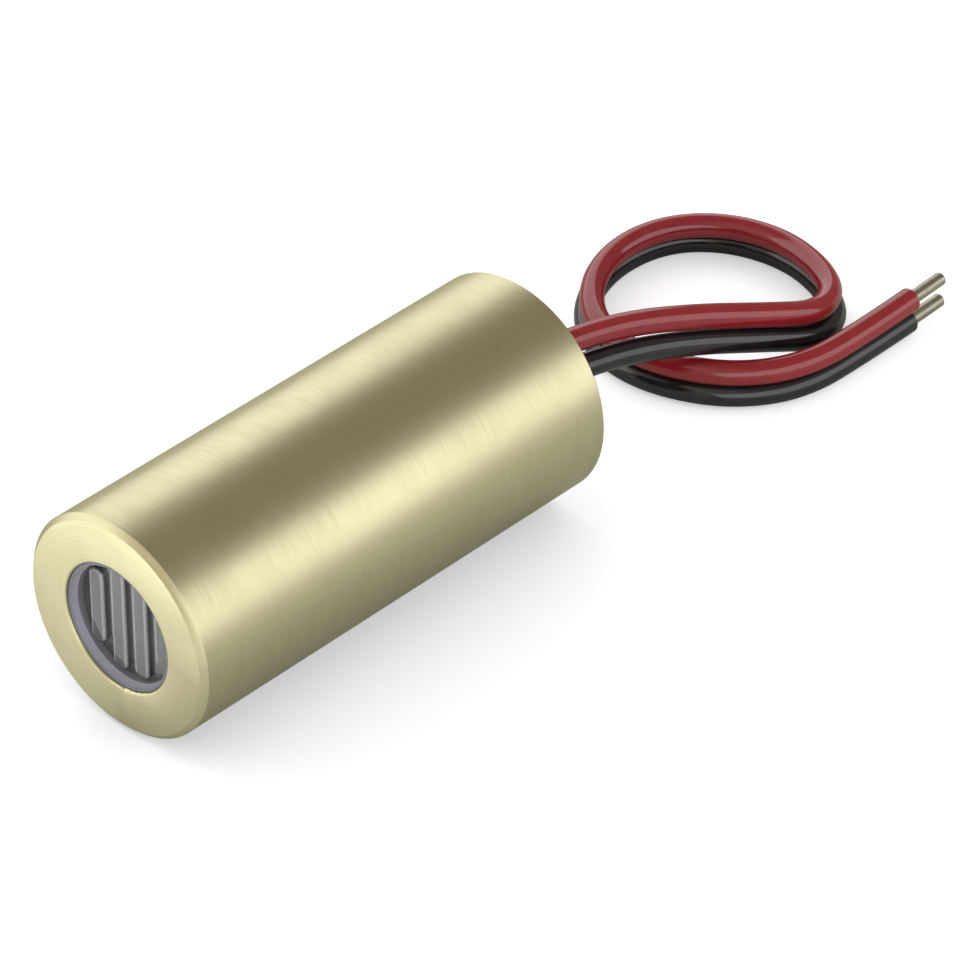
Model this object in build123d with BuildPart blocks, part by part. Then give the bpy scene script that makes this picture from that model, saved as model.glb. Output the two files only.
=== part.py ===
"""Line-beam laser diode module: a turned brass barrel with its optics, diode, driver and leads.

The origin is the centre of the front face, where the beam leaves towards -Y. The barrel runs
back along +Y, +Z is up, and all sizes are in millimetres. The module lies on its barrel and on
the loop of its two leads, so the surface below it is one barrel radius under the axis.
"""

import math
import os

from build123d import *

# Barrel, turned from brass bar
barrel_d = 9.0
barrel_length = 20.8
front_edge = 0.23
front_edge_r = 0.05
rear_edge = 0.1
aperture_d = 5.2
aperture_edge_r = 0.1
lip = 0.3
lens_shoulder = 0.45
cell_bore_d = 6.0
web = 1.6
rear_bore_d = 7.3
bore_mouth = 0.15

# Clearances
seat_gap = 0.02
slide_gap = 0.05
thread_gap = 0.03
cap_gap = 0.2
wire_gap = 0.05

# Sleeve that holds the line lens and lines the aperture, with one fine step in its mouth
sleeve_set_back = 0.12
sleeve_nose_wall = 0.12
sleeve_step = 0.06
sleeve_step_y = 0.42
sleeve_wall = 0.4

# Line lens: a clear disc with upright ribs on its front
lens_y = 0.7
lens_thickness = 1.2
lens_edge = 0.05
rib_count = 4
rib_pitch = 1.1
rib_shift = 0.15
rib_width = 0.72
rib_height = 0.2
rib_corner_r = 0.3
rib_crown_r = 0.08
rib_gap = 0.08

# Grey baffle ring that holds the sleeve against the lip
baffle_thickness = 0.6
baffle_bore_d = 3.8

# Threaded cell with the collimating lens
cell_length = 2.8
cell_wall = 0.45
cell_front = 0.5
cell_hole_d = 2.0
cell_slot_width = 0.6
cell_slot_depth = 0.4
cell_slot_reach = 0.8
collimator_rim = 0.9
collimator_sag = 0.65
collimator_flange = 0.4
keeper_length = 0.6
keeper_wall = 0.35

# Flat-wire spring behind the cell
spring_room = 1.6
spring_wire = 0.3
spring_turns = 3
spring_wall_gap = 0.15

# Laser diode: a 5.6 mm base with its can
base_d = 5.6
base_thickness = 1.2
base_vee = 0.45
base_key_width = 1.0
base_key_depth = 0.4
block_width = 1.5
block_ledge = 0.05
block_wall_gap = 0.2
cap_d = 3.55
cap_height = 2.3
cap_wall = 0.15
cap_flange = 0.325
window_gap = 0.325
window_seat = 0.5
window_thickness = 0.25
emitter_height = 1.27
submount_width = 0.7
submount_length = 0.95
submount_height = 0.2
chip_width = 0.3
chip_length = 0.45
chip_height = 0.1
sensor_size = 0.7
sensor_height = 0.2
pin_d = 0.45
pin_room = 0.4
pin_front = 0.5
pin_back = 2.55
seal_d = 0.9

# Press ring and insulating disc behind the diode
press_ring_length = 0.7
press_ring_wall = 0.9
disc_thickness = 0.4
disc_hole_gap = 0.08

# Driver board and its components
board_gap = 0.15
board_length = 5.5
board_room = 0.75
board_thickness = 0.8
slot_gap = 0.05
slot_spare = 0.2
chip_body_x = 2.9
chip_body_y = 1.6
chip_body_z = 1.0
transistor_body_y = 1.3
transistor_body_z = 0.9
body_lift = 0.1
lead_width = 0.4
lead_thickness = 0.12
lead_reach = 0.35
lead_pitch = 0.95
resistor_size = (0.8, 1.6, 0.45)
capacitor_size = (1.25, 2.0, 0.8)
edge_margin = 0.15
solder_length = 0.9
solder_wall = 0.3

# Leads: two insulated wires with tinned ends
wire_d = 1.0
conductor_d = 0.56
conductor_bared = 1.2
conductor_lift = 0.02
wire_start_gap = 0.1
tip_length = 2.0
tip_edge = 0.08

# Resin that closes the rear end
resin_front_gap = 0.3
resin_recess = 0.4
collar_d = 1.6
collar_top_d = 1.2
collar_height = 0.2

# Routes of the leads, from the centre of the rear face, chosen by hand
red_route = [
    (0.0, -1.7, 0.7),
    (0.0, 0.9, 0.66),
    (0.1, 3.2, 0.36),
    (0.55, 5.7, -0.05),
    (1.45, 8.7, -0.85),
    (2.4, 11.55, -1.8),
    (2.95, 13.85, -2.6),
    (2.2, 15.7, -2.9),
    (0.45, 16.75, -2.95),
    (-1.8, 17.1, -2.95),
    (-4.0, 16.45, -2.95),
    (-5.6, 14.85, -2.95),
    (-6.05, 12.6, -2.95),
    (-5.35, 10.15, -2.95),
    (-3.6, 8.15, -2.95),
    (-1.2, 7.3, -2.95),
    (1.3, 7.75, -2.95),
    (3.35, 9.25, -2.95),
    (4.6, 11.5, -2.95),
    (4.75, 14.5, -2.95),
    (4.65, 17.5, -2.95),
]
black_route = [
    (0.0, -1.7, -0.7),
    (0.05, 0.9, -0.7),
    (0.4, 3.1, -0.77),
    (0.9, 5.5, -1.1),
    (1.55, 8.45, -1.88),
    (2.4, 11.3, -2.85),
    (3.0, 13.65, -3.65),
    (2.35, 15.65, -3.98),
    (0.6, 16.9, -3.98),
    (-1.85, 17.4, -3.98),
    (-4.35, 16.8, -3.98),
    (-6.05, 15.1, -3.98),
    (-6.4, 12.55, -3.98),
    (-5.55, 10.0, -3.98),
    (-3.65, 8.05, -3.98),
    (-1.15, 7.3, -3.98),
    (1.3, 7.85, -3.98),
    (3.3, 9.3, -3.98),
    (4.55, 11.45, -3.98),
    (4.7, 14.45, -3.98),
    (4.62, 17.52, -3.98),
]
arc_share = 0.45

# Places along the barrel, from the front face back
baffle_y = lens_y + lens_thickness
cell_shoulder_y = baffle_y + baffle_thickness
cell_y = cell_shoulder_y + slide_gap
spring_y = cell_y + cell_length
web_y = spring_y + spring_room
diode_y = web_y + web
press_ring_y = diode_y + base_thickness
disc_y = press_ring_y + press_ring_length
board_y = disc_y + disc_thickness + board_gap
board_end_y = board_y + board_length
wire_start_y = board_end_y + wire_start_gap
resin_y = wire_start_y + resin_front_gap
resin_end_y = barrel_length - resin_recess
lead_z = board_thickness / 2 + conductor_d / 2 + conductor_lift
conductor_y = wire_start_y - conductor_bared
pin_end_y = press_ring_y + pin_back

# Widths that follow from one another, from the diode out to the bores
cap_bore_d = cap_d - 2 * cap_wall
cap_flange_d = cap_d + 2 * cap_flange
window_d = cap_bore_d - 2 * window_gap
window_hole_d = window_d - 2 * window_seat
pin_spread = cap_bore_d / 2 - pin_d / 2 - pin_room
web_bore_d = cap_flange_d + 2 * cap_gap
diode_bore_d = base_d + 2 * seat_gap
lens_bore_d = cell_bore_d + 2 * lens_shoulder
board_width = rear_bore_d - 2 * board_room
rear_wall = (barrel_d - rear_bore_d) / 2
pin_places = [(-pin_spread, 0), (pin_spread, 0), (0, -pin_spread)]
insulated_pins = pin_places[:2]


def across(y):
    """A plane square to the barrel at y, seen from the front; its normal points forwards."""
    return Plane.XZ.offset(-y)


def save(piece, name):
    piece.part.label = name
    export_step(piece.part, f"parts/{name}.step")


os.makedirs("parts", exist_ok=True)

# Barrel: one turned profile, bored in steps from both ends
with BuildPart() as housing:
    with BuildSketch(Plane.XY):
        with BuildLine():
            Polyline(
                (aperture_d / 2, 0),
                (barrel_d / 2, 0),
                (barrel_d / 2, barrel_length),
                (rear_bore_d / 2, barrel_length),
                (rear_bore_d / 2, disc_y),
                (diode_bore_d / 2, disc_y),
                (diode_bore_d / 2, diode_y),
                (web_bore_d / 2, diode_y),
                (web_bore_d / 2, web_y),
                (cell_bore_d / 2, web_y),
                (cell_bore_d / 2, cell_shoulder_y),
                (lens_bore_d / 2, cell_shoulder_y),
                (lens_bore_d / 2, lip),
                (aperture_d / 2, lip),
                close=True,
            )
        make_face()
    revolve(axis=Axis.Y)
    front_rims = housing.faces().sort_by(Axis.Y)[0].edges().sort_by(SortBy.RADIUS)
    chamfer(front_rims[-1], length=front_edge)
    front_cone = housing.faces().filter_by(GeomType.CONE).sort_by(Axis.Y)[0]
    fillet(front_cone.edges().filter_by(GeomType.CIRCLE), radius=front_edge_r)
    front_rims = housing.faces().sort_by(Axis.Y)[0].edges().sort_by(SortBy.RADIUS)
    fillet(front_rims[0], radius=aperture_edge_r)
    rear_rims = housing.faces().sort_by(Axis.Y)[-1].edges().sort_by(SortBy.RADIUS)
    chamfer(rear_rims[-1], length=min(rear_edge, rear_wall / 3))
    rear_rims = housing.faces().sort_by(Axis.Y)[-1].edges().sort_by(SortBy.RADIUS)
    chamfer(rear_rims[0], length=min(bore_mouth, rear_wall / 3))
save(housing, "housing")


# Sleeve of the line lens: its nose fills the aperture, and its shoulder rests on the lip
sleeve_d = lens_bore_d - 2 * slide_gap
nose_d = aperture_d - 2 * seat_gap
mouth_d = nose_d - 2 * sleeve_nose_wall
well_d = mouth_d - 2 * sleeve_step
lens_seat_d = sleeve_d - 2 * sleeve_wall

with BuildPart() as lens_sleeve:
    with BuildSketch(Plane.XY):
        with BuildLine():
            Polyline(
                (mouth_d / 2, sleeve_set_back),
                (nose_d / 2, sleeve_set_back),
                (nose_d / 2, lip),
                (sleeve_d / 2, lip),
                (sleeve_d / 2, baffle_y),
                (lens_seat_d / 2, baffle_y),
                (lens_seat_d / 2, lens_y),
                (well_d / 2, lens_y),
                (well_d / 2, sleeve_step_y),
                (mouth_d / 2, sleeve_step_y),
                close=True,
            )
        make_face()
    revolve(axis=Axis.Y)
save(lens_sleeve, "lens_sleeve")


# Line lens: upright ribs with rounded ends, each as long as the round well leaves room for
def rib_length(x):
    reach = rib_circle_d / 2
    side = abs(x) + rib_width / 4
    return 2 * math.sqrt(reach**2 - side**2)


rib_circle_d = well_d - 2 * rib_gap
rib_places = [rib_shift + (i - (rib_count - 1) / 2) * rib_pitch for i in range(rib_count)]
rib_places = [x for x in rib_places if abs(x) + rib_width / 2 < rib_circle_d / 2]
lens_d = lens_seat_d - 2 * seat_gap
rib_top_y = lens_y - rib_height

with BuildPart() as line_lens:
    with BuildSketch(across(lens_y)):
        Circle(lens_d / 2)
    extrude(amount=-lens_thickness)
    chamfer(line_lens.edges(), length=lens_edge)
    with BuildSketch(across(lens_y)):
        for x in rib_places:
            with Locations((x, 0)):
                RectangleRounded(rib_width, rib_length(x), rib_corner_r)
    extrude(amount=rib_height)
    crowns = line_lens.faces().filter_by(Axis.Y).filter_by_position(
        Axis.Y, rib_top_y - 0.01, rib_top_y + 0.01
    )
    fillet(crowns.edges(), radius=rib_crown_r)
save(line_lens, "line_lens")

with BuildPart() as baffle_ring:
    with BuildSketch(across(baffle_y)):
        Circle(lens_bore_d / 2 - seat_gap)
        Circle(baffle_bore_d / 2, mode=Mode.SUBTRACT)
    extrude(amount=-baffle_thickness)
save(baffle_ring, "baffle_ring")

# Lens cell: a threaded cup, open to the rear, with two spanner slots in its front rim
cell_d = cell_bore_d - 2 * thread_gap
pocket_d = cell_d - 2 * cell_wall
pocket_y = cell_y + cell_front
cell_end_y = cell_y + cell_length

with BuildPart() as lens_cell:
    with BuildSketch(across(cell_y)):
        Circle(cell_d / 2)
        Circle(cell_hole_d / 2, mode=Mode.SUBTRACT)
    extrude(amount=-cell_length)
    with BuildSketch(across(pocket_y)):
        Circle(pocket_d / 2)
    extrude(amount=-(cell_length - cell_front), mode=Mode.SUBTRACT)
    with BuildSketch(across(cell_y)):
        with PolarLocations(cell_d / 2, 2):
            Rectangle(2 * cell_slot_reach, cell_slot_width)
    extrude(amount=-cell_slot_depth, mode=Mode.SUBTRACT)
save(lens_cell, "lens_cell")

# Collimating lens: flat to the front, domed to the diode, with a flat rim for its keeper
collimator_r = pocket_d / 2 - slide_gap
dome_r = collimator_r - collimator_flange
rim_y = pocket_y + collimator_rim
dome_curve = (dome_r**2 + collimator_sag**2) / (2 * collimator_sag)
dome_angle = math.degrees(math.asin(dome_r / dome_curve))

with BuildPart() as collimator_lens:
    with BuildSketch(Plane.XY):
        with BuildLine():
            dome = CenterArc(
                (0, rim_y + collimator_sag - dome_curve),
                dome_curve,
                start_angle=90 - dome_angle,
                arc_size=dome_angle,
            )
            Polyline(
                dome @ 1,
                (0, pocket_y),
                (collimator_r, pocket_y),
                (collimator_r, rim_y),
                dome @ 0,
            )
        make_face()
    revolve(axis=Axis.Y)
save(collimator_lens, "collimator_lens")

with BuildPart() as lens_keeper:
    with BuildSketch(across(rim_y)):
        Circle(pocket_d / 2 - seat_gap)
        Circle(pocket_d / 2 - keeper_wall, mode=Mode.SUBTRACT)
    extrude(amount=-keeper_length)
save(lens_keeper, "lens_keeper")

# Spring: between the cell and the web in front of the diode
coil_r = cell_bore_d / 2 - spring_wall_gap - spring_wire / 2
coil_height = spring_room - spring_wire - 2 * seat_gap

with BuildPart() as focus_spring:
    with BuildLine() as coil:
        Helix(
            pitch=coil_height / spring_turns,
            height=coil_height,
            radius=coil_r,
            center=(0, spring_y + seat_gap + spring_wire / 2, 0),
            direction=(0, 1, 0),
        )
    with BuildSketch(Plane(coil.line @ 0, x_dir=(1, 0, 0), z_dir=coil.line % 0)):
        Rectangle(spring_wire, spring_wire)
    sweep(is_frenet=True)
save(focus_spring, "focus_spring")

# Laser diode: a notched base with a heat sink block, its can, window, pins and chips
chip_y = diode_y - emitter_height
block_front_y = chip_y - block_ledge
block_top = -(chip_height / 2 + submount_height)
block_reach = cap_bore_d / 2 - block_wall_gap
block_foot = -math.sqrt(block_reach**2 - (block_width / 2) ** 2)

with BuildPart() as diode_base:
    with BuildSketch(across(diode_y)):
        Circle(base_d / 2)
        with Locations((-base_d / 2, 0), (base_d / 2, 0)):
            Rectangle(base_vee, base_vee, rotation=45, mode=Mode.SUBTRACT)
        with Locations((0, base_d / 2)):
            Rectangle(base_key_width, 2 * base_key_depth, mode=Mode.SUBTRACT)
        with Locations(*insulated_pins):
            Circle(seal_d / 2, mode=Mode.SUBTRACT)
    extrude(amount=-base_thickness)
    with BuildSketch(across(diode_y)):
        with Locations((0, (block_top + block_foot) / 2)):
            Rectangle(block_width, block_top - block_foot)
    extrude(amount=diode_y - block_front_y)
save(diode_base, "diode_base")

with BuildPart() as diode_cap:
    with BuildSketch(Plane.XY):
        with BuildLine():
            Polyline(
                (window_hole_d / 2, diode_y - cap_height),
                (cap_d / 2, diode_y - cap_height),
                (cap_d / 2, diode_y - cap_wall),
                (cap_flange_d / 2, diode_y - cap_wall),
                (cap_flange_d / 2, diode_y),
                (cap_d / 2 - cap_wall, diode_y),
                (cap_d / 2 - cap_wall, diode_y - cap_height + cap_wall),
                (window_hole_d / 2, diode_y - cap_height + cap_wall),
                close=True,
            )
        make_face()
    revolve(axis=Axis.Y)
save(diode_cap, "diode_cap")

with BuildPart() as diode_window:
    with BuildSketch(across(diode_y - cap_height + cap_wall)):
        Circle(window_d / 2)
    extrude(amount=-window_thickness)
save(diode_window, "diode_window")

with BuildPart() as chip_submount:
    with BuildSketch(across(chip_y)):
        with Locations((0, block_top + submount_height / 2)):
            Rectangle(submount_width, submount_height)
    extrude(amount=-submount_length)
save(chip_submount, "chip_submount")

with BuildPart() as laser_chip:
    with BuildSketch(across(chip_y)):
        with Locations((0, block_top + submount_height + chip_height / 2)):
            Rectangle(chip_width, chip_height)
    extrude(amount=-chip_length)
save(laser_chip, "laser_chip")

with BuildPart() as light_sensor:
    with BuildSketch(across(diode_y)):
        with Locations((0, block_top + seat_gap + sensor_size / 2)):
            Rectangle(sensor_size, sensor_size)
    extrude(amount=sensor_height)
save(light_sensor, "light_sensor")

with BuildPart() as diode_pins:
    with BuildSketch(across(diode_y - pin_front)):
        with Locations(*insulated_pins):
            Circle(pin_d / 2)
    extrude(amount=-(pin_end_y - diode_y + pin_front))
    with BuildSketch(across(press_ring_y)):
        with Locations(pin_places[2]):
            Circle(pin_d / 2)
    extrude(amount=-pin_back)
save(diode_pins, "diode_pins")

with BuildPart() as pin_seals:
    with BuildSketch(across(diode_y)):
        with Locations(*insulated_pins):
            Circle(seal_d / 2)
            Circle(pin_d / 2, mode=Mode.SUBTRACT)
    extrude(amount=-base_thickness)
save(pin_seals, "pin_seals")

# Ring that presses the diode on its seat, and the disc that keeps the board off it
with BuildPart() as press_ring:
    with BuildSketch(across(press_ring_y)):
        Circle(diode_bore_d / 2 - seat_gap)
        Circle(diode_bore_d / 2 - press_ring_wall, mode=Mode.SUBTRACT)
    extrude(amount=-press_ring_length)
save(press_ring, "press_ring")

with BuildPart() as insulating_disc:
    with BuildSketch(across(disc_y)):
        Circle(rear_bore_d / 2 - slide_gap)
        with Locations(*pin_places):
            Circle(pin_d / 2 + disc_hole_gap, mode=Mode.SUBTRACT)
    extrude(amount=-disc_thickness)
save(insulating_disc, "insulating_disc")

# Driver board: two slots at its front edge take the insulated pins
board_top = board_thickness / 2
slot_length = pin_end_y + slot_spare - board_y
pin_solder_y = (board_y + pin_end_y) / 2 - solder_length / 2
wire_solder_y = (conductor_y + board_end_y) / 2 - solder_length / 2
package_y = (pin_solder_y + solder_length + conductor_y) / 2

with BuildPart() as driver_board:
    with BuildSketch(Plane.XY.offset(-board_top)):
        with Locations((0, board_y + board_length / 2)):
            Rectangle(board_width, board_length)
        for x, _ in insulated_pins:
            with Locations((x, board_y + slot_length / 2)):
                Rectangle(pin_d + 2 * slot_gap, slot_length, mode=Mode.SUBTRACT)
    extrude(amount=board_thickness)
save(driver_board, "driver_board")


def lead_profile(side_y, out, up, body_height):
    """A bent lead: out of the body, down to the board and out along it."""
    shank_z = up * (board_top + body_lift + body_height / 2)
    board_z = up * board_top
    inner = up * lead_thickness
    knee = side_y + out * lead_reach / 2
    toe = side_y + out * lead_reach
    return [
        (side_y, shank_z),
        (knee, shank_z),
        (knee, board_z + inner),
        (toe, board_z + inner),
        (toe, board_z),
        (knee - out * lead_thickness, board_z),
        (knee - out * lead_thickness, shank_z - inner),
        (side_y, shank_z - inner),
    ]


def chip_body(up, body_y, body_z):
    """A moulded package, lifted a little off the top or the bottom of the board."""
    with BuildPart() as body:
        with BuildSketch(Plane.XY.offset(up * (board_top + body_lift))):
            with Locations((0, package_y)):
                Rectangle(chip_body_x, body_y)
        extrude(amount=up * body_z)
    return body


def chip_leads(up, body_y, body_z, front_places, rear_places):
    """The leads of a package, as separate solids."""
    with BuildPart() as leads:
        for out, places in ((-1, front_places), (1, rear_places)):
            side_y = package_y + out * body_y / 2
            for place in places:
                x = place * lead_pitch
                with BuildSketch(Plane.YZ.offset(x - lead_width / 2)):
                    with BuildLine():
                        Polyline(*lead_profile(side_y, out, up, body_z), close=True)
                    make_face()
                extrude(amount=lead_width)
    return leads


chip = (1, chip_body_y, chip_body_z)
transistor = (-1, transistor_body_y, transistor_body_z)
save(chip_body(*chip), "driver_chip")
save(chip_leads(*chip, (-1, 0, 1), (-1, 0, 1)), "driver_chip_leads")
save(chip_body(*transistor), "transistor")
save(chip_leads(*transistor, (-1, 1), (0,)), "transistor_leads")


def small_parts(size, up, places):
    """Small block components in a row of places on one side of the board."""
    with BuildPart() as blocks:
        with BuildSketch(Plane.XY.offset(up * board_top)):
            with Locations(*places):
                Rectangle(size[0], size[1])
        extrude(amount=up * size[2])
    return blocks


resistor_x = board_width / 2 - edge_margin - resistor_size[0] / 2
resistor_y = edge_margin + resistor_size[1] / 2
resistor_places = [
    (-resistor_x, board_y + resistor_y),
    (resistor_x, board_y + resistor_y),
    (-resistor_x, board_end_y - resistor_y),
    (resistor_x, board_end_y - resistor_y),
]
capacitor_x = board_width / 2 - edge_margin - capacitor_size[0] / 2
capacitor_y = edge_margin + capacitor_size[1] / 2
capacitor_places = [
    (-capacitor_x, board_end_y - capacitor_y),
    (capacitor_x, board_end_y - capacitor_y),
]
save(small_parts(resistor_size, 1, resistor_places), "resistors")
save(small_parts(capacitor_size, -1, capacitor_places), "capacitors")

# Bared inner ends of the two wires, one on each side of the board
lead_places = [(0, lead_z), (0, -lead_z)]

with BuildPart() as inner_wire_ends:
    with BuildSketch(across(conductor_y)):
        with Locations(*lead_places):
            Circle(conductor_d / 2)
    extrude(amount=-conductor_bared)
save(inner_wire_ends, "inner_wire_ends")

# Solder round each pin and each wire end, shaped by what it joins
pin_solder_r = pin_d / 2 + solder_wall
low_pin_solder_r = pin_spread - board_top + solder_wall / 2
wire_solder_r = conductor_d / 2 + solder_wall

with BuildPart() as solder_joints:
    with BuildSketch(across(pin_solder_y)):
        with Locations(*insulated_pins):
            Circle(pin_solder_r)
        with Locations(pin_places[2]):
            Circle(low_pin_solder_r)
    extrude(amount=-solder_length)
    with BuildSketch(across(wire_solder_y)):
        with Locations(*lead_places):
            Circle(wire_solder_r)
    extrude(amount=-solder_length)
    add(driver_board.part, mode=Mode.SUBTRACT)
    add(diode_pins.part, mode=Mode.SUBTRACT)
    add(inner_wire_ends.part, mode=Mode.SUBTRACT)
save(solder_joints, "solder_joints")

# Resin that closes the rear end, drawn up a little round each wire
hole_d = wire_d + 2 * wire_gap
exit_places = [(x, z) for x, _, z in (red_route[0], black_route[0])]

with BuildPart() as rear_resin:
    with BuildSketch(across(resin_y)):
        Circle(rear_bore_d / 2 - seat_gap)
    extrude(amount=-(resin_end_y - resin_y))
    for x, z in exit_places:
        with BuildSketch(across(resin_end_y)):
            with Locations((x, z)):
                Circle(collar_d / 2)
        with BuildSketch(across(resin_end_y + collar_height)):
            with Locations((x, z)):
                Circle(collar_top_d / 2)
        loft()
    with BuildSketch(across(resin_y)):
        with Locations(*exit_places):
            Circle(hole_d / 2)
    extrude(amount=-(barrel_length - resin_y), mode=Mode.SUBTRACT)
save(rear_resin, "rear_resin")


def corner_radii(points):
    """One radius for each corner, as large as its two straight runs allow."""
    radii = []
    for before, corner, after in zip(points, points[1:], points[2:]):
        run_in = corner - before
        run_out = after - corner
        half_turn = math.radians(run_in.get_angle(run_out)) / 2
        shorter = min(run_in.length, run_out.length)
        radii.append(arc_share * shorter / math.tan(half_turn))
    return radii


def insulated_wire(start, route):
    """An insulated wire: straight runs joined by tangent arcs, round all along."""
    points = [Vector(*start)] + [Vector(x, barrel_length + y, z) for x, y, z in route]
    radii = corner_radii(points)
    with BuildPart() as wire:
        with BuildLine() as path:
            FilletPolyline(*points, radius=radii)
        with BuildSketch(Plane(path.line @ 0, z_dir=path.line % 0)):
            Circle(wire_d / 2)
        sweep()
    section = math.pi * (wire_d / 2) ** 2
    print("radii", [round(radius, 1) for radius in radii])
    centre_line = path.wires()[0]
    print("length", round(centre_line.length, 2), "volume", round(wire.part.volume, 3))
    print("section times length", round(section * centre_line.length, 3))
    return wire, centre_line @ 1, centre_line % 1


def bare_tip(place, direction, length):
    """The tinned end that sticks out of the insulation."""
    with BuildPart() as tip:
        with BuildSketch(Plane(place, z_dir=direction)):
            Circle(conductor_d / 2)
        extrude(amount=length)
        far_face = tip.faces().filter_by(GeomType.PLANE).sort_by(Axis.Y)[-1]
        chamfer(far_face.edges(), length=tip_edge)
    return tip


for colour, lead, route in (
    ("red", lead_places[0], red_route),
    ("black", lead_places[1], black_route),
):
    wire, wire_end, wire_direction = insulated_wire((lead[0], wire_start_y, lead[1]), route)
    save(wire, f"wire_{colour}")
    save(bare_tip(wire_end, wire_direction, tip_length), f"wire_tip_{colour}")
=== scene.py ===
"""Looks of the line laser module: brushed brass, a clear ribbed lens, and two glossy leads.

Lengths with the ending _mm are millimetres, and everything that goes to the scene is in metres.
The barrel runs from its front face, at y = 0, back along +Y, and +Z is up.
"""

import math

import bpy
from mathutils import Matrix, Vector


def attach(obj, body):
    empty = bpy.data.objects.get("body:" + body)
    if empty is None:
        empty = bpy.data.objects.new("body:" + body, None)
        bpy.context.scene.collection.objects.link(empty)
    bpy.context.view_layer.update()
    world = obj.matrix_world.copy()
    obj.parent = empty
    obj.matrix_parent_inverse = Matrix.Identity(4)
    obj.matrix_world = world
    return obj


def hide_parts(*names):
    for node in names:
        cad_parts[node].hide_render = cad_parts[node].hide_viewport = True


MM = 0.001

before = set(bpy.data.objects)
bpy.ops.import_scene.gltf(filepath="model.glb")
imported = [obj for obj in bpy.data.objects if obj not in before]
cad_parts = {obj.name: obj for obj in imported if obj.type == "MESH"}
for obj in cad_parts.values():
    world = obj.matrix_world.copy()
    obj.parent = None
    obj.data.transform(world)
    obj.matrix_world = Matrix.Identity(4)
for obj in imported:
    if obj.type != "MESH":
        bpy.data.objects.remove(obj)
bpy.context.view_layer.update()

# Sizes shared with the construction
barrel_length_mm = 20.8
barrel_radius_mm = 4.5
wire_mm = 1.0
rib_pitch_mm = 1.1

# Lengths of the leads, along their smooth curves
red_length_mm = 52.93
black_length_mm = 54.08

# Painted highlights on the edges of the lens's ribs: a groove's middle, the distance from it to
# a rib's border, how far the border fades, and the depth behind the front face where the ribs
# end
rib_centre_mm = 0.7
rib_border_mm = 0.235
rib_border_fade_mm = 0.01
rib_foot_mm = 0.585

# The lens sleeve, painted darker as shade on its rim and beyond its step, and lighter on its
# wall, which runs from its rim to its step
rim_end_mm = 0.14
well_step_mm = 0.43
depth_fade_mm = 0.015

# Closing the barrel's seams: how near its points are joined, and up to what angle in degrees
# it is smooth
seam_gap_mm = 0.0005
smooth_up_to = 32

# Routes of the leads, from the centre of the rear face, the same as in the construction
wire_start_mm = -4.2
red_route_mm = [
    (0.0, wire_start_mm, 0.7),
    (0.0, -1.7, 0.7),
    (0.0, 0.9, 0.66),
    (0.1, 3.2, 0.36),
    (0.55, 5.7, -0.01),
    (1.45, 8.7, -0.79),
    (2.4, 11.55, -1.74),
    (2.95, 13.9, -2.58),
    (2.2, 15.78, -2.9),
    (0.45, 16.84, -2.95),
    (-1.8, 17.19, -2.95),
    (-4.0, 16.5, -2.95),
    (-5.6, 14.85, -2.95),
    (-6.1, 12.55, -2.95),
    (-5.4, 10.1, -2.95),
    (-3.65, 8.1, -2.95),
    (-1.25, 7.35, -2.95),
    (1.22, 7.87, -2.95),
    (3.33, 9.28, -2.95),
    (4.6, 11.5, -2.95),
    (4.75, 14.5, -2.95),
    (4.65, 17.5, -2.95),
]
black_route_mm = [
    (0.0, wire_start_mm, -0.7),
    (0.0, -1.7, -0.7),
    (0.05, 0.9, -0.7),
    (0.4, 3.1, -0.75),
    (0.9, 5.5, -1.03),
    (1.55, 8.45, -1.82),
    (2.5, 11.43, -2.78),
    (3.08, 13.78, -3.65),
    (2.42, 15.85, -3.98),
    (0.6, 17.06, -3.98),
    (-1.85, 17.56, -3.98),
    (-4.35, 16.85, -3.98),
    (-6.05, 15.1, -3.98),
    (-6.4, 12.48, -3.98),
    (-5.6, 9.9, -3.98),
    (-3.7, 8.0, -3.98),
    (-1.2, 7.38, -3.98),
    (1.25, 7.95, -3.98),
    (3.28, 9.32, -3.98),
    (4.52, 11.47, -3.98),
    (4.64, 14.48, -3.98),
    (4.59, 17.52, -3.98),
]

# The photograph's camera: where it looks from in degrees, how far away, and the long lens
camera_azimuth = 43.407
camera_elevation = 36.75
camera_distance_mm = 212.43
camera_target_mm = (0.0, 10.0, 0.0)
camera_right_mm = 6.398
camera_up_mm = 0.579
camera_lens_mm = 214.156


def add_camera():
    """Looks at the target along the azimuth and elevation, shifted a little right and up."""
    azimuth = math.radians(camera_azimuth)
    elevation = math.radians(camera_elevation)
    back = Vector((
        math.sin(azimuth) * math.cos(elevation),
        -math.cos(azimuth) * math.cos(elevation),
        math.sin(elevation),
    ))
    right = Vector((math.cos(azimuth), math.sin(azimuth), 0))
    up = back.cross(right)
    place = (
        Vector(camera_target_mm)
        + back * camera_distance_mm
        + right * camera_right_mm
        + up * camera_up_mm
    )
    data = bpy.data.cameras.new("camera")
    data.lens = camera_lens_mm
    data.clip_start = 0.01
    data.clip_end = 10
    camera = bpy.data.objects.new("camera", data)
    camera.location = place * MM
    camera.rotation_euler = back.to_track_quat("Z", "Y").to_euler()
    bpy.context.collection.objects.link(camera)
    bpy.context.scene.camera = camera


def deselect_all():
    """Nothing is selected afterwards."""
    bpy.ops.object.select_all(action="DESELECT")


# Leads
# How smooth their curves are: the order of the spline, the steps from one point of the route to
# the next, and the steps round the wire
route_order = 3
route_steps = 16
round_steps = 10


def in_metres(point_mm):
    """A point of a lead, given from the centre of the rear face."""
    x, y, z = point_mm
    return Vector((x, barrel_length_mm + y, z)) * MM


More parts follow.
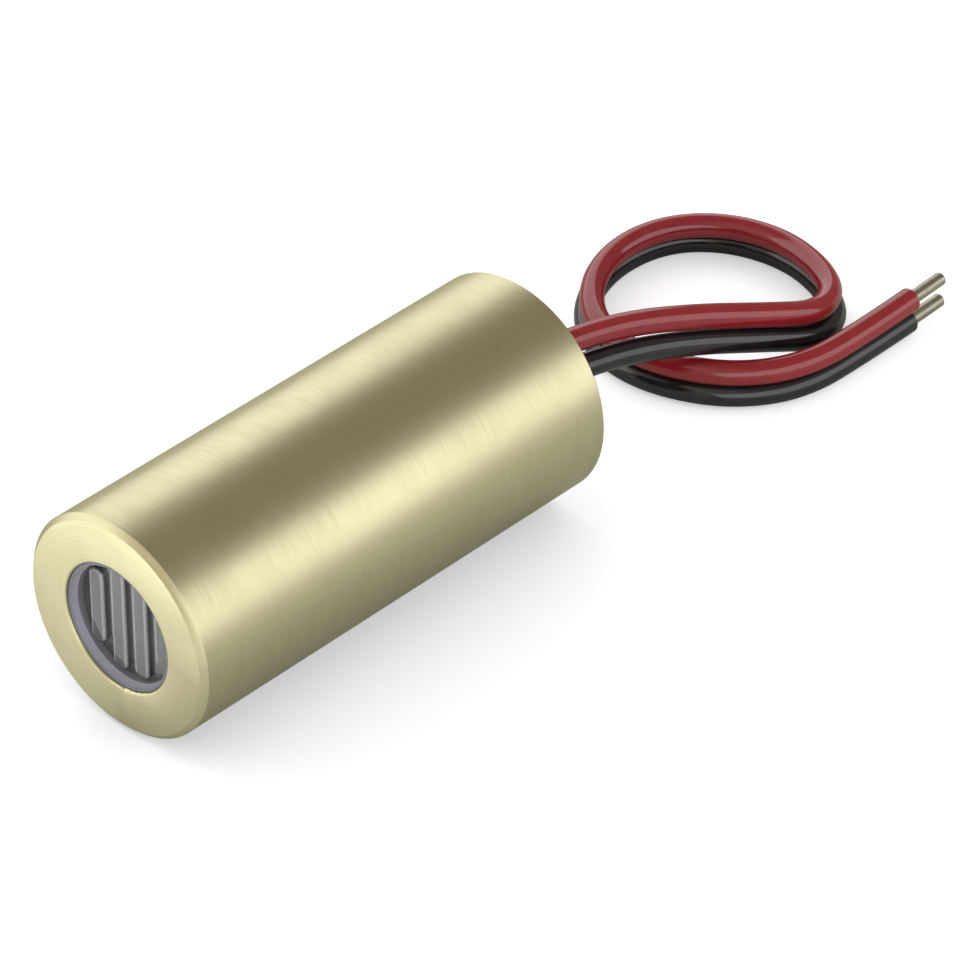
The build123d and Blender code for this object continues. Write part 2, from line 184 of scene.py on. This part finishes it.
def wire(name, route_mm):
    """One insulated wire: a smooth round curve that its route guides from point to point."""
    curve = bpy.data.curves.new(name, "CURVE")
    curve.dimensions = "3D"
    spline = curve.splines.new("NURBS")
    spline.points.add(len(route_mm) - 1)
    for point, place in zip(spline.points, route_mm):
        point.co = (*in_metres(place), 1)
    spline.order_u = route_order
    spline.use_endpoint_u = True
    spline.resolution_u = route_steps
    curve.bevel_depth = wire_mm / 2 * MM
    curve.bevel_resolution = round_steps
    curve.use_fill_caps = True
    piece = bpy.data.objects.new(name, curve)
    bpy.context.collection.objects.link(piece)
    return piece


# Barrel
def add_barrel(materials):
    """The housing with its seams closed, so that its shine runs round it unbroken."""
    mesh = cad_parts["housing"].data.copy()
    barrel = bpy.data.objects.new("barrel", mesh)
    bpy.context.collection.objects.link(barrel)
    deselect_all()
    barrel.select_set(True)
    bpy.context.view_layer.objects.active = barrel
    bpy.ops.mesh.customdata_custom_splitnormals_clear()
    bpy.ops.object.mode_set(mode="EDIT")
    bpy.ops.mesh.select_all(action="SELECT")
    bpy.ops.mesh.remove_doubles(threshold=seam_gap_mm * MM)
    bpy.ops.object.mode_set(mode="OBJECT")
    bpy.ops.object.shade_smooth_by_angle(angle=math.radians(smooth_up_to))
    even = barrel.modifiers.new("even shine", "WEIGHTED_NORMAL")
    even.mode = "FACE_AREA_WITH_ANGLE"
    even.keep_sharp = True
    bpy.ops.object.modifier_apply(modifier=even.name)
    give(barrel, materials["brass"])
    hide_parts("housing")
    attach(barrel, "root")


# Shader groups
# The part of a noise value's range that is used
noise_low = 0.3
noise_high = 0.7

# How much a surface faces forwards on a rib's flat top, and where the highlight painted on its
# rounded rim is full
flat_top = 0.98
rounded_edge = 0.85


def new_group(name, inputs, outputs):
    """A shader group with number inputs and named outputs."""
    group = bpy.data.node_groups.new(name, "ShaderNodeTree")
    for label, value in inputs:
        socket = group.interface.new_socket(label, in_out="INPUT", socket_type="NodeSocketFloat")
        socket.default_value = value
    for label, kind in outputs:
        group.interface.new_socket(label, in_out="OUTPUT", socket_type=kind)
    start = group.nodes.new("NodeGroupInput")
    end = group.nodes.new("NodeGroupOutput")
    return group, start, end


def math_node(tree, operation, first, second=None):
    """A calculation with one or two values, each a number or a socket."""
    node = tree.nodes.new("ShaderNodeMath")
    node.operation = operation
    for socket, value in zip(node.inputs, (first, second)):
        if value is None:
            continue
        if isinstance(value, (int, float)):
            socket.default_value = value
        else:
            tree.links.new(value, socket)
    return node.outputs[0]


def object_millimetres(tree):
    """Object coordinates in millimetres."""
    place = tree.nodes.new("ShaderNodeTexCoord")
    scale = tree.nodes.new("ShaderNodeVectorMath")
    scale.operation = "SCALE"
    scale.inputs["Scale"].default_value = 1 / MM
    tree.links.new(place.outputs["Object"], scale.inputs[0])
    return scale.outputs[0]


def noise(tree, vector, scale, detail, roughness):
    """A soft noise value. The scale is a number or a socket."""
    node = tree.nodes.new("ShaderNodeTexNoise")
    node.inputs["Detail"].default_value = detail
    node.inputs["Roughness"].default_value = roughness
    if isinstance(scale, (int, float)):
        node.inputs["Scale"].default_value = scale
    else:
        tree.links.new(scale, node.inputs["Scale"])
    tree.links.new(vector, node.inputs["Vector"])
    return node.outputs["Fac"]


def spread(tree, value, low, high):
    """Stretches a value so that low becomes 0 and high becomes 1."""
    node = tree.nodes.new("ShaderNodeMapRange")
    node.inputs["From Min"].default_value = low
    node.inputs["From Max"].default_value = high
    tree.links.new(value, node.inputs["Value"])
    return node.outputs["Result"]


def turning_group():
    """Marks that a lathe leaves: rings round the Y axis on the barrel and on its faces."""
    group, start, end = new_group(
        "turning marks",
        [("Lines per mm", 8.0), ("Stretch", 0.15)],
        [("Lines", "NodeSocketFloat")],
    )
    place = object_millimetres(group)
    parts = group.nodes.new("ShaderNodeSeparateXYZ")
    group.links.new(place, parts.inputs[0])
    x, y, z = parts.outputs
    across = math_node(group, "MULTIPLY", x, x)
    upward = math_node(group, "MULTIPLY", z, z)
    radius = math_node(group, "SQRT", math_node(group, "ADD", across, upward))
    along = math_node(group, "ADD", y, radius)
    vector = group.nodes.new("ShaderNodeCombineXYZ")
    stretch = start.outputs["Stretch"]
    group.links.new(math_node(group, "MULTIPLY", x, stretch), vector.inputs[0])
    group.links.new(math_node(group, "MULTIPLY", z, stretch), vector.inputs[2])
    lines = math_node(group, "MULTIPLY", along, start.outputs["Lines per mm"])
    group.links.new(lines, vector.inputs[1])
    value = noise(group, vector.outputs[0], scale=1.0, detail=3.0, roughness=0.6)
    group.links.new(spread(group, value, noise_low, noise_high), end.inputs["Lines"])
    return group


def mottle_group():
    """Soft patches, such as smudges, grain or the unevenness of a moulding."""
    group, start, end = new_group(
        "mottle", [("Patches per mm", 1.0)], [("Patches", "NodeSocketFloat")]
    )
    place = object_millimetres(group)
    value = noise(group, place, start.outputs["Patches per mm"], detail=4.0, roughness=0.55)
    group.links.new(spread(group, value, noise_low, noise_high), end.inputs["Patches"])
    return group


def depth_group():
    """1 before a depth behind the front face, and 0 beyond it."""
    group, start, end = new_group(
        "depth", [("Depth mm", 0.5)], [("Before", "NodeSocketFloat")]
    )
    parts = group.nodes.new("ShaderNodeSeparateXYZ")
    group.links.new(object_millimetres(group), parts.inputs[0])
    left = math_node(group, "SUBTRACT", start.outputs["Depth mm"], parts.outputs["Y"])
    before = spread(group, left, -depth_fade_mm, depth_fade_mm)
    group.links.new(before, end.inputs["Before"])
    return group


def rib_highlight_group():
    """1 on the rounded edges of the ribs and along the borders of their tops, where highlights
    are painted.
    """
    group, start, end = new_group("painted rib highlights", [], [("Edge", "NodeSocketFloat")])
    place = group.nodes.new("ShaderNodeTexCoord")
    skin = group.nodes.new("ShaderNodeSeparateXYZ")
    group.links.new(place.outputs["Normal"], skin.inputs[0])
    facing = math_node(group, "ABSOLUTE", skin.outputs["Y"])
    turned = spread(group, facing, flat_top, rounded_edge)
    parts = group.nodes.new("ShaderNodeSeparateXYZ")
    group.links.new(object_millimetres(group), parts.inputs[0])
    across = math_node(group, "SUBTRACT", parts.outputs["X"], rib_centre_mm)
    aside = math_node(group, "PINGPONG", across, rib_pitch_mm / 2)
    border = spread(
        group,
        aside,
        rib_border_mm - rib_border_fade_mm,
        rib_border_mm + rib_border_fade_mm,
    )
    group.links.new(math_node(group, "MAXIMUM", turned, border), end.inputs["Edge"])
    return group


def make_groups():
    """All shader groups, by the names that materials use."""
    return {
        "turning": turning_group(),
        "mottle": mottle_group(),
        "depth": depth_group(),
        "painted rib highlights": rib_highlight_group(),
    }


# Materials
class Finish:
    """A material with its Principled shader and a few ways to vary it."""

    def __init__(self, name, groups):
        self.material = bpy.data.materials.new(name)
        self.material.use_nodes = True
        self.tree = self.material.node_tree
        self.groups = groups
        self.shader = self.tree.nodes["Principled BSDF"]

    def set(self, **values):
        """Plain values on the shader's own sockets."""
        for label, value in values.items():
            self.shader.inputs[label.replace("_", " ")].default_value = value

    def effect(self, name, **values):
        """One of the shader groups, with its own values."""
        node = self.tree.nodes.new("ShaderNodeGroup")
        node.node_tree = self.groups[name]
        for label, value in values.items():
            node.inputs[label.replace("_", " ")].default_value = value
        return node.outputs[0]

    def blend(self, amount, low, high):
        """A colour that goes from low to high with amount."""
        node = self.tree.nodes.new("ShaderNodeMix")
        node.data_type = "RGBA"
        node.inputs["A"].default_value = (*low, 1)
        node.inputs["B"].default_value = (*high, 1)
        self.tree.links.new(amount, node.inputs["Factor"])
        return node.outputs["Result"]

    def range(self, amount, low, high):
        """A number that goes from low to high with amount."""
        node = self.tree.nodes.new("ShaderNodeMapRange")
        node.inputs["To Min"].default_value = low
        node.inputs["To Max"].default_value = high
        self.tree.links.new(amount, node.inputs["Value"])
        return node.outputs["Result"]

    def mix(self, first, second, share):
        """A weighted mean of two values."""
        low = math_node(self.tree, "MULTIPLY", first, 1 - share)
        high = math_node(self.tree, "MULTIPLY", second, share)
        return math_node(self.tree, "ADD", low, high)

    def bump(self, height, depth_mm, strength=1.0):
        """Relief of a small depth that follows height."""
        node = self.tree.nodes.new("ShaderNodeBump")
        node.inputs["Strength"].default_value = strength
        node.inputs["Distance"].default_value = depth_mm * MM
        self.tree.links.new(height, node.inputs["Height"])
        self.tree.links.new(node.outputs[0], self.shader.inputs["Normal"])

    def feed(self, label, value):
        """Joins a value to one of the shader's own sockets."""
        self.tree.links.new(value, self.shader.inputs[label])


def turned_metal(
    name, groups, dark, light, rough, lines_per_mm=9.0, depth_mm=0.0015, stretch=0.12
):
    """Metal with fine lathe marks and faint smudges. More stretch makes the marks shorter."""
    finish = Finish(name, groups)
    lines = finish.effect("turning", Lines_per_mm=lines_per_mm, Stretch=stretch)
    smudges = finish.effect("mottle", Patches_per_mm=0.35)
    both = finish.mix(lines, smudges, share=0.45)
    finish.feed("Base Color", finish.blend(both, dark, light))
    finish.feed("Roughness", finish.range(both, rough + 0.07, rough - 0.05))
    finish.bump(lines, depth_mm)
    finish.set(Metallic=1.0)
    return finish.material


def grained_metal(name, groups, dark, light, rough, patches_per_mm=6.0, depth_mm=0.003):
    """Plated, drawn or soldered metal with a soft uneven skin."""
    finish = Finish(name, groups)
    patches = finish.effect("mottle", Patches_per_mm=patches_per_mm)
    finish.feed("Base Color", finish.blend(patches, dark, light))
    finish.feed("Roughness", finish.range(patches, rough + 0.08, rough - 0.06))
    finish.bump(patches, depth_mm)
    finish.set(Metallic=1.0)
    return finish.material


def moulded(name, groups, dark, light, rough, patches_per_mm=5.0, depth_mm=0.004, coat=0.0):
    """Plastic, resin, board or ceramic with a fine grain."""
    finish = Finish(name, groups)
    patches = finish.effect("mottle", Patches_per_mm=patches_per_mm)
    finish.feed("Base Color", finish.blend(patches, dark, light))
    finish.feed("Roughness", finish.range(patches, rough + 0.08, rough - 0.05))
    finish.bump(patches, depth_mm)
    finish.set(Coat_Weight=coat, Coat_Roughness=0.08)
    return finish.material


def clear(name, groups, tint, rough, ior):
    """Clear moulded plastic or glass with a faint ripple."""
    finish = Finish(name, groups)
    ripple = finish.effect("mottle", Patches_per_mm=0.9)
    finish.feed("Roughness", finish.range(ripple, rough, rough + 0.03))
    finish.bump(ripple, depth_mm=0.002)
    finish.set(Base_Color=(*tint, 1), Transmission_Weight=1.0, IOR=ior)
    return finish.material


def ribbed_lens(name, groups, body, painted_highlight):
    """Moulded plastic lens, a little cloudy, with highlights painted near white on the edges of
    its ribs.
    """
    finish = Finish(name, groups)
    edges = finish.effect("painted rib highlights")
    on_rib = finish.effect("depth", Depth_mm=rib_foot_mm)
    both = math_node(finish.tree, "MULTIPLY", edges, on_rib)
    # Painted highlights: near white on the ribs' rounded rims and along the borders of their
    # tops
    finish.feed("Base Color", finish.blend(both, body, painted_highlight))
    ripple = finish.effect("mottle", Patches_per_mm=0.9)
    finish.feed("Roughness", finish.range(ripple, low=0.04, high=0.09))
    finish.bump(ripple, depth_mm=0.002)
    finish.set(Transmission_Weight=0.72, IOR=1.6, Coat_Weight=1.0, Coat_IOR=1.85)
    return finish.material


def stepped_well(name, groups, wall, painted_shade, rough):
    """A smooth moulding, painted darker as shade on its rim and beyond its step, and lighter on
    the wall between.
    """
    finish = Finish(name, groups)
    before_step = finish.effect("depth", Depth_mm=well_step_mm)
    on_rim = finish.effect("depth", Depth_mm=rim_end_mm)
    on_wall = math_node(finish.tree, "SUBTRACT", before_step, on_rim)
    # Painted shade: the rim and the part beyond the step are darker than the wall
    finish.feed("Base Color", finish.blend(on_wall, painted_shade, wall))
    patches = finish.effect("mottle", Patches_per_mm=2.0)
    finish.feed("Roughness", finish.range(patches, rough + 0.08, rough - 0.05))
    finish.bump(patches, depth_mm=0.002)
    return finish.material


def insulation(name, groups, dark, light, rough):
    """Glossy soft insulation, with faint flow marks and handling marks."""
    finish = Finish(name, groups)
    patches = finish.effect("mottle", Patches_per_mm=1.6)
    grain = finish.effect("mottle", Patches_per_mm=14.0)
    finish.feed("Base Color", finish.blend(patches, dark, light))
    both = finish.mix(patches, grain, share=0.4)
    finish.feed("Roughness", finish.range(both, rough - 0.05, rough + 0.08))
    finish.bump(both, depth_mm=0.003, strength=0.5)
    finish.set(Specular_IOR_Level=0.75)
    return finish.material


def make_materials(groups):
    """All materials, by the names that pieces use. Colours are given dark first, then light."""
    brass_dark = (0.655, 0.62, 0.392)
    brass_light = (0.755, 0.72, 0.467)
    gold_dark = (0.72, 0.52, 0.20)
    gold_light = (0.90, 0.70, 0.32)
    steel_dark = (0.42, 0.42, 0.42)
    steel_light = (0.68, 0.68, 0.67)
    black_dark = (0.007, 0.007, 0.008)
    black_light = (0.013, 0.013, 0.014)
    return {
        "brass": turned_metal(
            "brushed brass",
            groups,
            brass_dark,
            brass_light,
            rough=0.37,
            lines_per_mm=12.0,
            depth_mm=0.0026,
            stretch=0.5,
        ),
        "inner brass": turned_metal("turned brass", groups, brass_dark, brass_light, rough=0.3),
        "satin aluminium": turned_metal(
            "satin aluminium", groups, (0.5, 0.5, 0.52), (0.68, 0.68, 0.7), rough=0.5
        ),
        # The sleeve's rim and its part beyond the step are painted darker as shade
        "lens moulding": stepped_well(
            "lens moulding",
            groups,
            wall=(0.40, 0.395, 0.46),
            painted_shade=(0.19, 0.19, 0.205),
            rough=0.45,
        ),
        "gold": grained_metal("gold plating", groups, gold_dark, gold_light, rough=0.28),
        "steel": grained_metal("drawn steel", groups, steel_dark, steel_light, rough=0.3),
        "nickel": grained_metal(
            "nickel plating", groups, (0.52, 0.51, 0.48), (0.7, 0.69, 0.65), rough=0.3
        ),
        "solder": grained_metal(
            "solder",
            groups,
            (0.55, 0.55, 0.57),
            (0.78, 0.78, 0.8),
            rough=0.22,
            patches_per_mm=2.5,
            depth_mm=0.01,
        ),
        "tinned copper": grained_metal(
            "tinned copper",
            groups,
            (0.40, 0.38, 0.29),
            (0.50, 0.475, 0.37),
            rough=0.36,
            patches_per_mm=1.6,
            depth_mm=0.002,
        ),
        # The lens's rib highlights are painted into its colour, near white
        "clear acrylic": ribbed_lens(
            "clear acrylic", groups, body=(0.235, 0.235, 0.25), painted_highlight=(0.95, 0.95, 0.96)
        ),
        "glass": clear("optical glass", groups, tint=(0.98, 0.99, 0.99), rough=0.0, ior=1.52),
        "sealing glass": moulded(
            "sealing glass", groups, (0.02, 0.04, 0.06), (0.04, 0.07, 0.1), rough=0.15
        ),
        "baffle": moulded(
            "grey baffle", groups, (0.4, 0.4, 0.41), (0.46, 0.46, 0.47), rough=0.5
        ),
        "black moulding": moulded(
            "black moulding", groups, (0.014, 0.014, 0.015), (0.03, 0.03, 0.03), rough=0.45
        ),
        "resin": moulded(
            "black resin",
            groups,
            (0.008, 0.008, 0.009),
            (0.02, 0.02, 0.022),
            rough=0.25,
            patches_per_mm=0.8,
            depth_mm=0.03,
        ),
        "laminate": moulded(
            "laminate",
            groups,
            (0.42, 0.33, 0.17),
            (0.56, 0.46, 0.26),
            rough=0.5,
            patches_per_mm=9.0,
        ),
        "board": moulded(
            "green board",
            groups,
            (0.012, 0.09, 0.04),
            (0.02, 0.14, 0.06),
            rough=0.35,
            patches_per_mm=4.0,
        ),
        "dark ceramic": moulded(
            "dark ceramic",
            groups,
            (0.015, 0.015, 0.02),
            (0.04, 0.04, 0.05),
            rough=0.3,
            patches_per_mm=8.0,
        ),
        "tan ceramic": moulded(
            "tan ceramic",
            groups,
            (0.3, 0.2, 0.12),
            (0.44, 0.32, 0.2),
            rough=0.45,
            patches_per_mm=8.0,
        ),
        "silicon": moulded(
            "silicon",
            groups,
            (0.02, 0.025, 0.05),
            (0.04, 0.05, 0.09),
            rough=0.12,
            patches_per_mm=10.0,
            depth_mm=0.001,
        ),
        "red insulation": insulation(
            "red insulation", groups, (0.195, 0.010, 0.014), (0.225, 0.011, 0.016), rough=0.11
        ),
        "black insulation": insulation(
            "black insulation", groups, black_dark, black_light, rough=0.11
        ),
    }


# The material of each piece of the construction, apart from the barrel and the leads
node_finish = {
    "line_lens": "clear acrylic",
    "lens_sleeve": "lens moulding",
    "baffle_ring": "baffle",
    "lens_cell": "satin aluminium",
    "collimator_lens": "glass",
    "lens_keeper": "inner brass",
    "focus_spring": "steel",
    "diode_base": "gold",
    "diode_cap": "nickel",
    "diode_window": "glass",
    "laser_chip": "silicon",
    "chip_submount": "gold",
    "light_sensor": "silicon",
    "diode_pins": "gold",
    "pin_seals": "sealing glass",
    "press_ring": "inner brass",
    "insulating_disc": "laminate",
    "driver_board": "board",
    "driver_chip": "black moulding",
    "driver_chip_leads": "solder",
    "transistor": "black moulding",
    "transistor_leads": "solder",
    "resistors": "dark ceramic",
    "capacitors": "tan ceramic",
    "solder_joints": "solder",
    "inner_wire_ends": "tinned copper",
    "rear_resin": "resin",
    "wire_tip_red": "tinned copper",
    "wire_tip_black": "tinned copper",
}


def give(piece, material):
    """One material for a whole piece."""
    piece.data.materials.clear()
    piece.data.materials.append(material)


def dress_nodes(materials):
    """Puts the materials on the pieces of the construction."""
    for node, finish in node_finish.items():
        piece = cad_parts[node]
        for slot in piece.material_slots:
            slot.material = materials[finish]


def add_leads(materials):
    """Both leads in place of their plain solids. Their tinned ends keep their solids."""
    for colour, route, length_mm in (
        ("red", red_route_mm, red_length_mm),
        ("black", black_route_mm, black_length_mm),
    ):
        lead = wire(f"{colour}_wire", route)
        give(lead, materials[f"{colour} insulation"])
        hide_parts(f"wire_{colour}")
        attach(lead, "root")


# Studio
# Centre of the studio, and the floor's size and its drop below the barrel
studio_centre_y = 0.02
floor_size = 3.0
floor_drop_mm = 0.01
floor_white = (0.8, 0.8, 0.8)

# The floor's own glow to the camera, near the barrel and behind it
floor_glow = 0.35
floor_glow_behind = 0.44
glow_behind_from_mm = 22
glow_behind_to_mm = 28

# The floor as metal mirrors it: a warmer colour, and a share of its white that falls to the left
floor_warmth_in_metal = (0.10, 0.085, 0.0)
floor_in_metal = 0.47
floor_at_left = 0.17
left_from_mm = -8
left_to_mm = -30

# Its glow in metal before the front face, as (start, end, level) along Y in millimetres, and
# the share of it that is left at the right
floor_glows = ((1.0, -1.0, 0.33), (-4.5, -10.0, 1.0))
floor_glow_at_right = 0.3
right_from_mm = -6
right_to_mm = 5

# The room: its soft fill, its dim look in metal, and how much brighter that is ahead and above.
# A direction's Y tells how far it is ahead, and its Z how far above.
room_fill = (0.84, 0.835, 0.82)
room_in_metal = (0.24, 0.208, 0.175)
room_ahead = 0.74
room_above = 2.7
ahead_full_at = -0.8
above_from = 0.1
above_full_at = 0.6

# Softboxes beside the barrel, as (name, angle, width, level). The angle is round the barrel,
# in degrees from +X up.
softbox_distance = 0.30
softbox_length = 0.9
softbox_colour = (0.96, 0.98, 1.0)
softboxes = (
    ("right box", 20, 0.23, 1.36),
    ("left box", 152, 0.29, 1.13),
)


def seen_directly(tree, path):
    """1 where the camera sees a surface, straight or through the lens."""
    return math_node(
        tree,
        "MAXIMUM",
        path.outputs["Is Camera Ray"],
        path.outputs["Is Transmission Ray"],
    )


def slope(tree, value, start, end, low, high):
    """Goes smoothly from low to high while the value goes from start to end."""
    ramp = tree.nodes.new("ShaderNodeMapRange")
    ramp.interpolation_type = "SMOOTHSTEP"
    for label, number in (
        ("From Min", start),
        ("From Max", end),
        ("To Min", low),
        ("To Max", high),
    ):
        ramp.inputs[label].default_value = number
    tree.links.new(value, ramp.inputs["Value"])
    return ramp.outputs["Result"]


def add_floor():
    """White paper that keeps the shadow. It is dimmer in metal, and brighter before the face."""
    bpy.ops.mesh.primitive_plane_add(
        size=floor_size,
        location=(0, studio_centre_y, -(barrel_radius_mm + floor_drop_mm) * MM),
    )
    floor = bpy.context.object
    floor.name = "floor"
    material = bpy.data.materials.new("white paper")
    material.use_nodes = True
    tree = material.node_tree
    tree.nodes.clear()
    path = tree.nodes.new("ShaderNodeLightPath")
    mirrored = path.outputs["Is Glossy Ray"]
    direct = seen_directly(tree, path)
    place = tree.nodes.new("ShaderNodeNewGeometry")
    parts = tree.nodes.new("ShaderNodeSeparateXYZ")
    tree.links.new(place.outputs["Position"], parts.inputs[0])
    x = parts.outputs["X"]
    y = parts.outputs["Y"]
    ahead = 0
    for start_mm, end_mm, level in floor_glows:
        near = slope(tree, y, start_mm * MM, end_mm * MM, 0, level)
        ahead = math_node(tree, "ADD", near, ahead)
    glow = tree.nodes.new("ShaderNodeEmission")
    aside = slope(tree, x, right_from_mm * MM, right_to_mm * MM, 1.0, floor_glow_at_right)
    ahead = math_node(tree, "MULTIPLY", ahead, aside)
    in_metal = math_node(tree, "MULTIPLY", mirrored, ahead)
    level = slope(
        tree,
        y,
        glow_behind_from_mm * MM,
        glow_behind_to_mm * MM,
        floor_glow,
        floor_glow_behind,
    )
    to_camera = math_node(tree, "MULTIPLY", direct, level)
    tree.links.new(math_node(tree, "ADD", in_metal, to_camera), glow.inputs["Strength"])
    tone = tree.nodes.new("ShaderNodeMix")
    tone.data_type = "RGBA"
    tone.inputs["A"].default_value = (*floor_white, 1)
    tone.inputs["B"].default_value = (*floor_warmth_in_metal, 1)
    share = slope(tree, x, left_from_mm * MM, left_to_mm * MM, floor_in_metal, floor_at_left)
    kept = math_node(tree, "SUBTRACT", 1.0, share)
    tree.links.new(math_node(tree, "MULTIPLY", mirrored, kept), tone.inputs["Factor"])
    paper = tree.nodes.new("ShaderNodeBsdfDiffuse")
    tree.links.new(tone.outputs["Result"], paper.inputs["Color"])
    both = tree.nodes.new("ShaderNodeAddShader")
    tree.links.new(glow.outputs[0], both.inputs[0])
    tree.links.new(paper.outputs[0], both.inputs[1])
    end = tree.nodes.new("ShaderNodeOutputMaterial")
    tree.links.new(both.outputs[0], end.inputs["Surface"])
    floor.data.materials.append(material)


def add_world():
    """A room of soft light, white to the camera. Metal mirrors it dimly, and brighter ahead."""
    world = bpy.data.worlds.new("studio")
    bpy.context.scene.world = world
    world.use_nodes = True
    world.cycles.sampling_method = "NONE"
    tree = world.node_tree
    tree.nodes.clear()
    path = tree.nodes.new("ShaderNodeLightPath")
    mirrored = path.outputs["Is Glossy Ray"]
    seen = seen_directly(tree, path)
    tone = tree.nodes.new("ShaderNodeMix")
    tone.data_type = "RGBA"
    tone.inputs["A"].default_value = (*room_fill, 1)
    tone.inputs["B"].default_value = (*room_in_metal, 1)
    tree.links.new(mirrored, tone.inputs["Factor"])
    place = tree.nodes.new("ShaderNodeTexCoord")
    parts = tree.nodes.new("ShaderNodeSeparateXYZ")
    tree.links.new(place.outputs["Generated"], parts.inputs[0])
    front = slope(tree, parts.outputs["Y"], 0.0, ahead_full_at, 0.0, room_ahead)
    above = slope(tree, parts.outputs["Z"], above_from, above_full_at, 1.0, room_above)
    front = math_node(tree, "MULTIPLY", front, above)
    ahead = math_node(tree, "MULTIPLY", front, mirrored)
    room = tree.nodes.new("ShaderNodeBackground")
    tree.links.new(math_node(tree, "ADD", ahead, 1.0), room.inputs["Strength"])
    tree.links.new(tone.outputs["Result"], room.inputs["Color"])
    white = tree.nodes.new("ShaderNodeBackground")
    white.inputs["Strength"].default_value = 1.0
    both = tree.nodes.new("ShaderNodeMixShader")
    tree.links.new(seen, both.inputs["Fac"])
    tree.links.new(room.outputs[0], both.inputs[1])
    tree.links.new(white.outputs[0], both.inputs[2])
    end = tree.nodes.new("ShaderNodeOutputWorld")
    tree.links.new(both.outputs[0], end.inputs["Surface"])


def add_softbox(name, angle, width, level):
    """A long box of light beside the barrel."""
    turn = math.radians(angle)
    out = Vector((math.cos(turn), 0, math.sin(turn)))
    data = bpy.data.lights.new(name, "AREA")
    data.shape = "RECTANGLE"
    data.size = width
    data.size_y = softbox_length
    data.energy = level * math.pi * width * softbox_length
    data.color = softbox_colour
    box = bpy.data.objects.new(name, data)
    box.location = out * softbox_distance + Vector((0, studio_centre_y, 0))
    box.rotation_euler = (0, math.pi / 2 - turn, 0)
    box.visible_camera = False
    bpy.context.collection.objects.link(box)


# The whole scene
add_camera()
groups = make_groups()
materials = make_materials(groups)
add_leads(materials)
add_barrel(materials)
dress_nodes(materials)
add_floor()
add_world()
for softbox in softboxes:
    add_softbox(*softbox)
bpy.context.scene.view_settings.view_transform = "Standard"
bpy.context.scene.cycles.caustics_reflective = False
